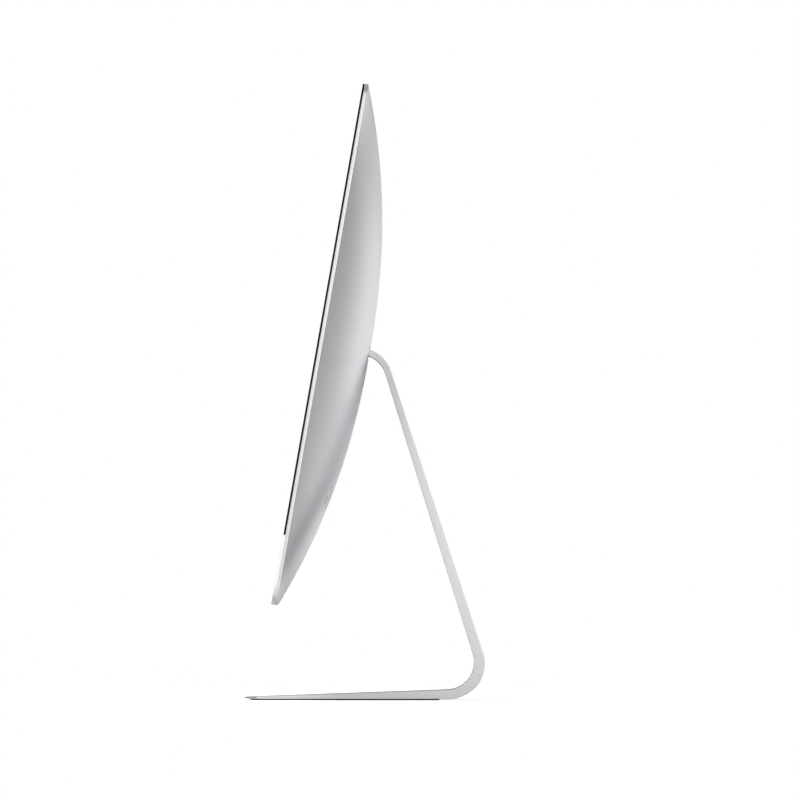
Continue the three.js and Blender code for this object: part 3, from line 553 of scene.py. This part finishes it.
def dress_frame_nodes():
    """Every piece of the frame gets the procedural material of its slot."""
    for row in frame["record"]["subparts"]:
        for place in frame["nodes"][row["node"]].material_slots:
            place.link = "OBJECT"
            place.material = MATERIALS[row["material_slot"]]


dress_frame_nodes()


# ---------------------------------------------------------------- rear housing


def rim_ring(distance, depth):
    """The housing's outline moved inwards, at one depth."""
    across = 1 - distance / (WIDTH / 2)
    up = 1 - distance / (HEIGHT / 2)
    middle = HEIGHT / 2
    return [(x * across, depth, middle + (h - middle) * up) for x, h in HOUSING_OUTLINE]


def dome_rings(outline, centre, count, power=1.6, lift=0.0):
    """Rings from an outline in to its centre, all of them on the dome."""
    rings = []
    x0, h0 = centre
    for k in range(1, count):
        scale = 1 - (k / count) ** power
        ring = [(x0 + (x - x0) * scale, h0 + (h - h0) * scale) for x, h in outline]
        rings.append([(x, dome(x, h) + lift, h) for x, h in ring])
    rings.append([(x0, dome(x0, h0) + lift, h0)])
    return rings


HOUSING_OUTLINE = divided(rectangle(-WIDTH / 2, WIDTH / 2, 0, HEIGHT, CORNER_RADIUS, 8), 8)


def housing_block():
    """The whole display as one solid: flat front, upright rim, rounded edge and domed back."""
    softened = 0.3 * FRONT_EDGE
    arc_start = EDGE_THICKNESS - RIM_DROP
    rings = [
        rim_ring(FRONT_EDGE, 0),
        rim_ring(softened, softened),
        rim_ring(0, FRONT_EDGE),
        rim_ring(0, arc_start),
    ]
    for degrees in (18, 36, 54, 72):
        angle = math.radians(degrees)
        depth = arc_start + RIM_RADIUS * math.sin(angle)
        rings.append(rim_ring(RIM_RADIUS * (1 - math.cos(angle)), depth))
    rings += dome_rings(HOUSING_OUTLINE, (0, HEIGHT / 2), 46)
    return Solid().stack(rings)


def cavity_block():
    """The room inside, bounded by the dome less the wall."""
    outline = rectangle(-CAVITY_HALF_WIDTH, CAVITY_HALF_WIDTH, CAVITY_LOW, CAVITY_HIGH)
    outline = divided(outline, 22)
    front = [(x, LEDGE_BACK, h) for x, h in outline]
    rings = [front, [(x, dome(x, h) - SHELL, h) for x, h in outline]]
    rings += dome_rings(outline, (0, HEIGHT / 2), 16, 1.3, -SHELL)
    return Solid().stack(rings)


def glass_seat():
    return Solid().box(-WIDTH, WIDTH, -5, LEDGE_FRONT, CHIN_HEIGHT, HEIGHT + 5)


def screen_opening():
    half = SCREEN_OPENING["half_width"]
    return Solid().box(-half, half, -1, LEDGE_BACK + 1, SCREEN_OPENING["low"], SCREEN_OPENING["high"])


def camera_notch():
    """Room above the screen opening for the camera and the microphone."""
    sides = (CAMERA_NOTCH["left"], CAMERA_NOTCH["right"])
    return Solid().box(*sides, -1, LEDGE_BACK + 1, CAMERA_NOTCH["low"], CAMERA_NOTCH["high"])


def chin_hollow():
    depths = (CHIN_HOLLOW["front"], LEDGE_BACK + 1)
    return Solid().box(-CAVITY_HALF_WIDTH, CAVITY_HALF_WIDTH, *depths, CAVITY_LOW, CHIN_HOLLOW["top"])


def gasket_groove():
    """The groove that the display's gasket lies in, as one closed ring round the screen."""
    half, low, high, width = (GROOVE[key] for key in ("half_width", "low", "high", "width"))
    outer = rectangle(-half, half, low, high)
    inner = rectangle(width - half, half - width, low + width, high - width)
    section = ((outer, 1), (outer, GROOVE["back"]), (inner, GROOVE["back"]), (inner, 1), (outer, 1))
    rings = [[(x, w, h) for x, h in outline] for outline, w in section]
    return Solid().stack(rings, cap_first=False, cap_last=False)


def port_corner(size):
    return 0.22 * min(size["width"], 8)


def port_holes():
    tool = Solid()
    sizes = [(x, USB) for x in USB_X] + [(x, DATA) for x in DATA_X]
    sizes += [(NETWORK_X, NETWORK), (CARD_X, CARD)]
    for x, size in sizes:
        width, height = size["width"] + 2 * GAP, size["height"] + 2 * GAP
        hole = centred(x, PORT_ROW, width, height, port_corner(size) + GAP)
        tool.prism(hole, HOLE_START, OUTSIDE)
    tool.prism(circle(AUDIO["x"], PORT_ROW, AUDIO["radius"] + GAP, 32), HOLE_START, OUTSIDE)
    return tool


def bottom_slots():
    tool = Solid()
    front, back, radius = (BOTTOM_SLOT[key] for key in ("front", "back", "radius"))
    for first, count in BOTTOM_SLOT_GROUPS:
        for i in range(count):
            x = first + BOTTOM_SLOT["pitch"] * i
            outline = rectangle(x, x + BOTTOM_SLOT["length"], front, back, radius, 4)
            tool.prism(outline, -1, CAVITY_LOW + 1, along_z)
    return tool


def back_holes():
    tool = Solid()
    for gap in (SLOT, VENT):
        half = gap["half_width"]
        tool.prism(rectangle(-half, half, gap["low"], gap["high"], 3), PIVOT_W, OUTSIDE)
    for x, h, radius in (
        (0, INLET["h"], INLET["radius"]),
        (0, RELEASE["h"], RELEASE["radius"]),
        (0, WINDOW["h"], WINDOW["radius"]),
        (POWER_BUTTON["x"], POWER_BUTTON["h"], POWER_BUTTON["radius"]),
    ):
        tool.prism(circle(x, h, radius + GAP, 96), HOLE_START, OUTSIDE)
    tool.prism(door_outline(DOOR_GAP), HOLE_START, OUTSIDE)
    lock = centred(LOCK["x"], LOCK["h"], LOCK["width"], LOCK["height"], 1.4)
    tool.prism(lock, HOLE_START, OUTSIDE)
    return tool


def door_outline(margin=0.0):
    half = DOOR["half_width"] + margin
    low, high = DOOR["low"] - margin, DOOR["high"] + margin
    return rectangle(-half, half, low, high, DOOR["corner"] + margin, 8)


HOUSING_CUTS = (
    cavity_block, glass_seat, screen_opening, camera_notch, chin_hollow, gasket_groove,
    port_holes, back_holes, bottom_slots,
)


def make_rear_housing():
    piece = new_object("housing", housing_block().mesh("housing"))
    for make_cut in HOUSING_CUTS:
        boolean(piece, make_cut())
    smooth_dome(piece)
    finish_piece(piece, DISPLAY, "display", "anodised_aluminium", "rear_housing")


# ---------------------------------------------------------------- pieces let into the dome


def dome_lid(outline, centre, count=10, edge=0.25, floor=None):
    """A lid whose outside follows the dome, with a small softened edge. Its floor may be level."""

    def on_dome(ring, depth):
        return [(x, dome(x, h) - depth, h) for x, h in ring]

    top = inset(outline, edge)
    low = on_dome(outline, SHELL) if floor is None else [(x, floor, h) for x, h in outline]
    softened = on_dome(inset(outline, 0.3 * edge), 0.3 * edge)
    rings = [low, on_dome(outline, edge), softened, on_dome(top, 0)]
    rings += dome_rings(top, centre, count, 1.2)
    return Solid().stack(rings)


def make_lid(name, solid, body, slot):
    piece = new_object(name + "_shape", solid.mesh(name))
    smooth_dome(piece)
    finish_piece(piece, DISPLAY, body, slot, name)


def make_antenna_window():
    outline = circle(0, WINDOW["h"], WINDOW["radius"], 96)
    solid = dome_lid(outline, (0, WINDOW["h"]))
    make_lid("antenna_window", solid, "display", "grey_plastic")


def make_memory_door():
    outline = divided(door_outline(), 6)
    centre = (0, (DOOR["low"] + DOOR["high"]) / 2)
    make_lid("memory_door", dome_lid(outline, centre), "memory_door", "anodised_aluminium")


def make_button(button, segments, count, name, body, slot):
    """A cap that follows the dome, on a flange that is too wide for the hole."""
    x, h, radius = button["x"], button["h"], button["radius"]
    base, flange_top = button["base"], button["flange_top"]
    floor = (base + flange_top) / 2
    solid = dome_lid(circle(x, h, radius, segments), (x, h), count, 0.4, floor)
    solid.prism(circle(x, h, radius + button["flange"], segments), base, flange_top)
    make_lid(name, solid, body, slot)


def make_buttons():
    make_button(POWER_BUTTON, 48, 6, "power_button", "power_button", "anodised_aluminium")
    make_button(RELEASE, 32, 4, "door_release_button", "door_release", "grey_plastic")


# ---------------------------------------------------------------- sockets


def place_fine(name, piece, slot):
    """Softens a small piece's edges and puts it on the display in place of its node."""
    bevel(piece, 0.15)
    smooth_flat_sided(piece)
    finish_piece(piece, DISPLAY, "display", slot, name)


def port_face(x, width, height):
    """Depth of a port's flat face, just under the lowest point of the dome over it."""
    corners = [dome(x + i * width / 2, PORT_ROW + j * height / 2) for i in (-1, 1) for j in (-1, 1)]
    return min(corners) - GAP


def make_port(name, x, size, slot, tongue=None):
    """A shell with a rounded mouth, and the tongue inside it where it has one."""
    face = port_face(x, size["width"], size["height"])
    corner = port_corner(size)
    shell = Solid().prism(centred(x, PORT_ROW, size["width"], size["height"], corner), PARTS_BASE, face)
    piece = new_object(f"{name}_shape", shell.mesh(name))
    mouth = centred(x, PORT_ROW, size["width"] - 1, size["height"] - 1, 0.6 * corner)
    boolean(piece, Solid().prism(mouth, face - size["depth"], face + 2))
    place_fine(name, piece, slot)
    if tongue:
        strip = Solid().prism(centred(x, PORT_ROW, *tongue), face - size["depth"] - 0.1, face - 1.8)
        place_fine(name, new_object(f"{name}_tongue", strip.mesh(name)), "black_plastic")


def make_audio_jack():
    face = port_face(AUDIO["x"], 2 * AUDIO["radius"], 2 * AUDIO["radius"])
    barrel = Solid().prism(circle(AUDIO["x"], PORT_ROW, AUDIO["radius"]), PARTS_BASE, face)
    piece = new_object("audio_jack_shape", barrel.mesh("audio_jack"))
    bore = circle(AUDIO["x"], PORT_ROW, AUDIO["bore"])
    boolean(piece, Solid().prism(bore, face - AUDIO["depth"], face + 2))
    place_fine("audio_jack", piece, "black_plastic")


def make_ports():
    for i, x in enumerate(USB_X):
        make_port(f"usb_port_{i + 1}", x, USB, "steel", (1.8, 10.6))
    for i, x in enumerate(DATA_X):
        make_port(f"data_port_{i + 1}", x, DATA, "steel", (1.4, 5.2))
    make_port("network_jack", NETWORK_X, NETWORK, "black_plastic")
    make_port("card_slot", CARD_X, CARD, "black_plastic")
    make_audio_jack()


def make_pin(name, x, h, base, nose):
    """A round pin whose nose narrows a little."""
    profile = ((PIN_RADIUS, base), (PIN_RADIUS, nose - 1), (1.2, nose - 0.4), (0.7, nose))
    rings = [[(a, w, b) for a, b in circle(x, h, radius, 24)] for radius, w in profile]
    piece = new_object(f"{name}_shape", Solid().stack(rings).mesh(name))
    smooth(piece)
    finish_piece(piece, DISPLAY, "display", "steel", name)


def make_power_inlet():
    """A round cup with a flat-bottomed recess, and its three pins."""
    h, radius, depth = INLET["h"], INLET["radius"], INLET["depth"]
    face = dome(radius, h - radius) - 0.4
    cup = Solid().prism(circle(0, h, radius, 96), face - depth - 3, face)
    piece = new_object("power_inlet_shape", cup.mesh("power_inlet"))
    boolean(piece, Solid().prism(circle(0, h, INLET["recess"], 96), face - depth, face + 5))
    place_fine("power_inlet", piece, "black_plastic")
    for i, (x, dh) in enumerate(PINS):
        make_pin(f"power_pin_{i + 1}", x, h + dh, face - depth + GAP, face - PIN_SHORT)


# ---------------------------------------------------------------- stand


def meet(a, angle_a, b, angle_b):
    """Where two lines meet, each given by a point and an angle above +Y."""
    across = (b[0] - a[0]) * math.sin(angle_b) - (b[1] - a[1]) * math.cos(angle_b)
    along = across / math.sin(angle_b - angle_a)
    return (a[0] + along * math.cos(angle_a), a[1] + along * math.sin(angle_a))


def stand_outline():
    tip_top = (STAND_FRONT, TIP["top"])
    tip_bottom = (STAND_FRONT, TIP["bottom"])
    bevel_end = (STAND_FRONT + TIP["bevel"], PAD_THICKNESS)
    half = NECK_THICKNESS / 2
    neck_top = (PIVOT.y + half * math.sin(TILT), PIVOT.z + half * math.cos(TILT))
    neck_under = (PIVOT.y - half * math.sin(TILT), PIVOT.z - half * math.cos(TILT))
    return rounded([
        tip_bottom,
        bevel_end,
        (*meet(bevel_end, 0, *ARM_REAR), BEND_RADIUS["outside"]),
        (*meet(*ARM_REAR, neck_top, -TILT), NECK_BEND_RADIUS["outside"]),
        neck_top,
        neck_under,
        (*meet(neck_under, -TILT, *ARM_FRONT), NECK_BEND_RADIUS["inside"]),
        (*meet(*ARM_FRONT, tip_top, FOOT_SLOPE), BEND_RADIUS["inside"]),
        tip_top,
    ], 28)


def pivot_bar(radius, x0, x1):
    return Solid().prism(circle(PIVOT.y, PIVOT.z, radius, 64), x0, x1, along_x)


def make_shroud():
    """Curved back of the neck's end, which fills the housing's slot at every tilt."""
    half_turn = math.acos(SHROUD_FRONT / SHROUD_RADIUS)
    angles = [half_turn * (2 * i / 40 - 1) for i in range(41)]

    def arc(radius, turns):
        return [(PIVOT.y + radius * math.cos(a), PIVOT.z + radius * math.sin(a)) for a in turns]

    outline = arc(SHROUD_RADIUS, angles) + arc(SHROUD_RADIUS - SHROUD_THICKNESS, reversed(angles))
    return Solid().prism(outline, -STAND_HALF_WIDTH, STAND_HALF_WIDTH, along_x)


def neck_shoulders():
    """What is cut from the neck's end on both sides of the knuckle."""
    depths = (PIVOT.y - SHOULDER["front"], PIVOT.y + SHOULDER["back"])
    heights = (PIVOT.z - SHOULDER["half_height"], PIVOT.z + SHOULDER["half_height"])
    shoulders = Solid()
    for side in (-1, 1):
        near, far = sorted((side * KNUCKLE_HALF_WIDTH, side * (STAND_HALF_WIDTH + 1)))
        shoulders.box(near, far, *depths, *heights)
    return shoulders


def make_stand():
    half = STAND_HALF_WIDTH
    plate = Solid().prism(stand_outline(), -half, half, along_x)
    piece = new_object("stand_plate", plate.mesh("stand_plate"))
    front = (STAND_FRONT, FOOT_CORNER_RADIUS)
    back, low, high = STAND_REACH.values()
    plan = rounded([(-half, *front), (half, *front), (half, back), (-half, back)], 24)
    boolean(piece, Solid().prism(plan, low, high, along_z), "INTERSECT")
    boolean(piece, Solid().prism(circle(0, ARM_HOLE_Z, ARM_HOLE_RADIUS, 96), 0, 95))
    bevel(piece, 0.3)
    boolean(piece, neck_shoulders())
    boolean(piece, pivot_bar(KNUCKLE_RADIUS, -KNUCKLE_HALF_WIDTH, KNUCKLE_HALF_WIDTH), "UNION")
    boolean(piece, make_shroud(), "UNION")
    boolean(piece, pivot_bar(SHAFT_BORE, -half, half))
    smooth_flat_sided(piece)
    finish_piece(piece, PART, "stand", "anodised_aluminium", "stand")


def make_foot_pad():
    half = STAND_HALF_WIDTH - PAD["border"]
    corner = FOOT_CORNER_RADIUS - PAD["border"]
    outline = rectangle(-half, half, PAD["front"], PAD["back"], corner)
    top = PAD_THICKNESS - GAP
    profile = ((0.25, 0), (0, 0.25), (0, top - 0.2), (0.2, top))
    rings = [[(x, y, z) for x, y in inset(outline, distance)] for distance, z in profile]
    piece = new_object("foot_pad_shape", Solid().stack(rings).mesh("foot_pad"))
    smooth(piece)
    finish_piece(piece, PART, "stand", "rubber", "foot_pad")


# ---------------------------------------------------------------- front glass


def make_cover_glass():
    half = WIDTH / 2
    low = CHIN_HEIGHT + GAP
    upper = (HEIGHT, CORNER_RADIUS)
    outline = rounded([(-half, low), (half, low), (half, *upper), (-half, *upper)], 12)
    piece = new_object("front_glass", Solid().prism(outline, 0, GLASS_THICKNESS).mesh("front_glass"))
    bevel(piece, 0.2)
    smooth_flat_sided(piece)
    finish_piece(piece, DISPLAY, "display", "black_glass", "cover_glass")


# ---------------------------------------------------------------- stage, lights, camera

LIGHT_CIRCLE = 3.0
KEY_SIZE = (0.8, 0.55)
STRIP_SIZE = (1.2, 0.33)
SWEEP_SIZE = (1.8, 1.8)


def make_floor():
    """Pale to the camera, and dull enough to light the object's underside only a little."""
    reach = 2.6
    data = bpy.data.meshes.new("floor")
    corners = [(-reach, -reach, 0), (reach, -reach, 0), (reach, reach, 0), (-reach, reach, 0)]
    data.from_pydata(corners, [], [(0, 1, 2, 3)])
    floor = new_object("floor", data)
    material = bpy.data.materials.new("floor")
    material.use_nodes = True
    nodes, links = material.node_tree.nodes, material.node_tree.links
    pale = nodes["Principled BSDF"]
    pale.inputs["Base Color"].default_value = (0.8, 0.8, 0.8, 1)
    pale.inputs["Roughness"].default_value = 0.9
    pale.inputs["Specular IOR Level"].default_value = 0.0
    pale.inputs["Emission Color"].default_value = (1, 1, 1, 1)
    pale.inputs["Emission Strength"].default_value = 0.75
    dull = add_node(material, "ShaderNodeBsdfDiffuse", Color=(0.5, 0.5, 0.5, 1))
    path = add_node(material, "ShaderNodeLightPath")
    mix = add_node(material, "ShaderNodeMixShader")
    links.new(path.outputs["Is Camera Ray"], mix.inputs["Fac"])
    links.new(dull.outputs["BSDF"], mix.inputs[1])
    links.new(pale.outputs["BSDF"], mix.inputs[2])
    links.new(mix.outputs["Shader"], nodes["Material Output"].inputs["Surface"])
    data.materials.append(material)


def make_world():
    """Plain white to the camera, and a softer grey as light on the object."""
    world = bpy.data.worlds.new("studio")
    bpy.context.scene.world = world
    world.use_nodes = True
    nodes, links = world.node_tree.nodes, world.node_tree.links
    soft = nodes["Background"]
    soft.inputs["Color"].default_value = (0.97, 0.985, 1, 1)
    soft.inputs["Strength"].default_value = 0.31
    white = nodes.new("ShaderNodeBackground")
    white.inputs["Color"].default_value = (1, 1, 1, 1)
    white.inputs["Strength"].default_value = 1.0
    path = nodes.new("ShaderNodeLightPath")
    mix = nodes.new("ShaderNodeMixShader")
    links.new(path.outputs["Is Camera Ray"], mix.inputs["Fac"])
    links.new(soft.outputs["Background"], mix.inputs[1])
    links.new(white.outputs["Background"], mix.inputs[2])
    links.new(mix.outputs["Shader"], nodes["World Output"].inputs["Surface"])


def softbox(name, place, target, width, height, strength):
    """A large area light that the camera doesn't see itself."""
    data = bpy.data.lights.new(name, "AREA")
    data.shape = "RECTANGLE"
    data.size = width
    data.size_y = height
    data.energy = strength * width * height
    light = new_object(name, data)
    light.location = place
    light.rotation_euler = (Vector(target) - Vector(place)).to_track_quat("-Z", "Y").to_euler()
    light.visible_camera = False


def level_softbox(name, azimuth, height, size, strength):
    """A softbox on the circle of lights, at 0 beside the camera and at 90 behind the machine's back."""
    angle = math.radians(azimuth)
    place = (LIGHT_CIRCLE * math.cos(angle), LIGHT_CIRCLE * math.sin(angle), height)
    softbox(name, place, (0, 0, height), *size, strength)


def floor_softbox(name, x, y, strength):
    """Lights upwards from just over the floor, as a lit white sweep does."""
    softbox(name, (x, y, 0.01), (x, y, 1), *SWEEP_SIZE, strength)


def make_lights():
    centre = (CAD_LOW + CAD_HIGH) / 2
    softbox("front_top", (0, -1.27, 2.97), centre, 1.4, 1.4, 43)
    level_softbox("front_side", -20, 1.0, KEY_SIZE, 44)
    level_softbox("camera_side", 15, 0.3, KEY_SIZE, 13.7)
    level_softbox("edge_low", 150, 0.18, STRIP_SIZE, 1.85)
    level_softbox("edge_low_far", 165, 0.18, STRIP_SIZE, 2.15)
    level_softbox("edge_high_far", 165, 0.5, STRIP_SIZE, 2.05)
    floor_softbox("sweep", -1.6, 0, 3.6)
    floor_softbox("sweep_corner", -1.3, 1.3, 0.44)


def make_camera():
    """Far off to the machine's right side, and a little below its middle."""
    distance = 32
    picture_width = 0.682
    data = bpy.data.cameras.new("camera")
    data.sensor_width = 36
    data.lens = data.sensor_width * distance / picture_width
    data.clip_end = 200
    camera = new_object("camera", data)
    aim = Vector((0, 0.0303, 0.2556))
    camera.location = (distance, aim.y, 0.12)
    camera.rotation_euler = (aim - camera.location).to_track_quat("-Z", "Y").to_euler()
    bpy.context.scene.camera = camera


make_camera()
make_floor()
make_world()
make_lights()
bpy.context.scene.view_settings.view_transform = "Standard"

make_stand()
make_foot_pad()
make_rear_housing()
make_antenna_window()
make_memory_door()
make_buttons()
make_ports()
make_power_inlet()
make_cover_glass()
